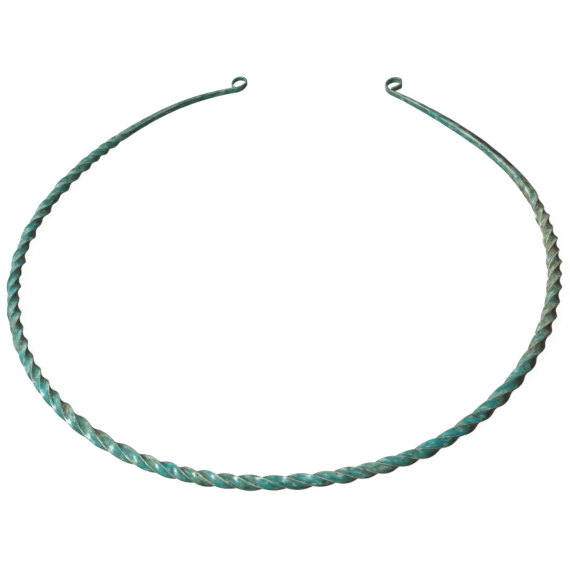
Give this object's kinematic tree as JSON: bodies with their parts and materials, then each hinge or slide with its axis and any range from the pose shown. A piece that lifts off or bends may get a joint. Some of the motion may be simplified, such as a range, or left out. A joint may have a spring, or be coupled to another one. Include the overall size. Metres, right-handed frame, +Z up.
{
  "type": "torc",
  "caption": "Open neck ring of twisted square bronze bar, its plain hammered ends rolled outward into eyelets.",
  "frame": {"origin": "middle of the bottom of the bounding box of the torc, which lies flat", "axes": "+Z up, along the axis of the ring; +Y from the front of the neck to the opening between the eyelets; +X to the right"},
  "size_m": [0.18, 0.1874, 0.0052],
  "materials": {
    "patinated_bronze": "corroded bronze with a mottled blue-green and olive patina, matte to satin"
  },
  "bodies": {
    "root": {"torc": "patinated_bronze"}
  },
  "joints": []
}
